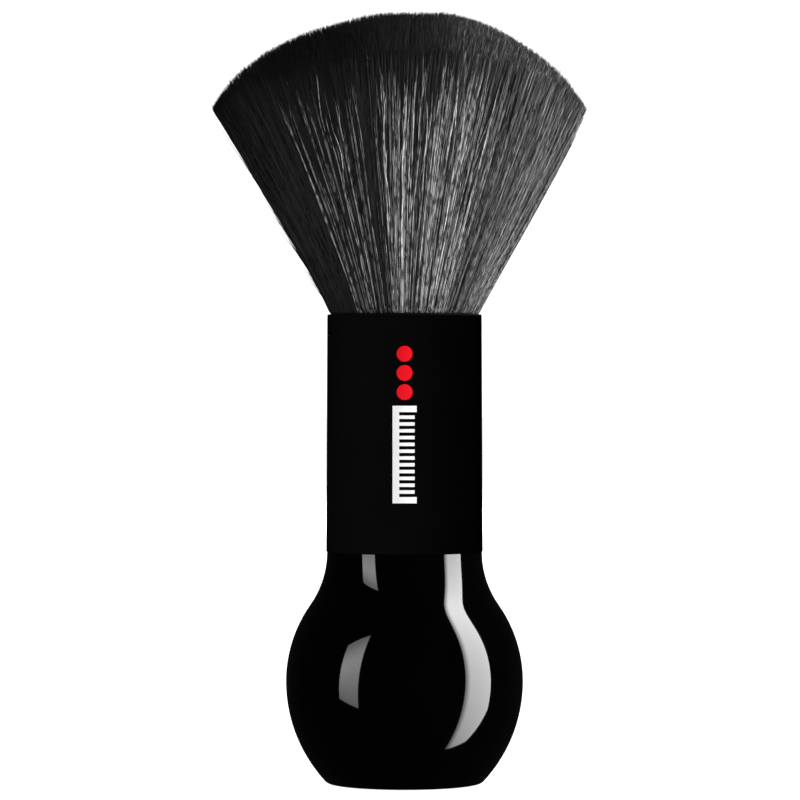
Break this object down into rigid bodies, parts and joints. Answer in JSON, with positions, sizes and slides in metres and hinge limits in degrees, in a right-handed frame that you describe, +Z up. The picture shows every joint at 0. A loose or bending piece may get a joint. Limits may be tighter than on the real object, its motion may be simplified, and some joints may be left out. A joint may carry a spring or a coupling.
{
  "type": "neck duster brush",
  "caption": "Free-standing neck duster brush: a gloss bulb handle, a straight matte sleeve and a wide fan-shaped tuft of soft bristles with a domed top.",
  "frame": {"origin": "centre of the foot pad's underside, where the brush stands, at the bottom centre of the bounding box", "axes": "+Z up along the handle's axis to the crown of the tuft, -Y out of the printed side of the sleeve, +X to the right of a viewer who faces the print; the fan is wide along X and shallower along Y"},
  "size_m": [0.0922, 0.0714, 0.1885],
  "materials": {
    "gloss_black": "polished black lacquer over turned hardwood",
    "matte_black": "matte soft-touch black",
    "collar_black": "satin black nylon",
    "bristle": "soft charcoal-black synthetic fibre with a silky sheen",
    "binding_cord": "waxed cord",
    "resin": "cured amber epoxy",
    "plug_black": "fine-textured black moulding",
    "pad_foam": "closed-cell foam",
    "weight_steel": "turned steel",
    "zinc_steel": "zinc-plated",
    "brass": "machined brass",
    "ink_white": "white screen-print film",
    "ink_red": "red screen-print film"
  },
  "bodies": {
    "root": {"bulb_handle": "gloss_black", "base_plug": "plug_black", "foot_pad": "pad_foam", "steel_weight": "weight_steel", "sleeve": "matte_black", "knot_cup": "collar_black", "resin_plug": "resin", "knot_binding": "binding_cord", "bristle_tuft": "bristle", "threaded_insert": "brass", "assembly_screw": "zinc_steel", "screw_washer": "zinc_steel", "printed_comb": "ink_white", "printed_dots": "ink_red"}
  },
  "joints": []
}
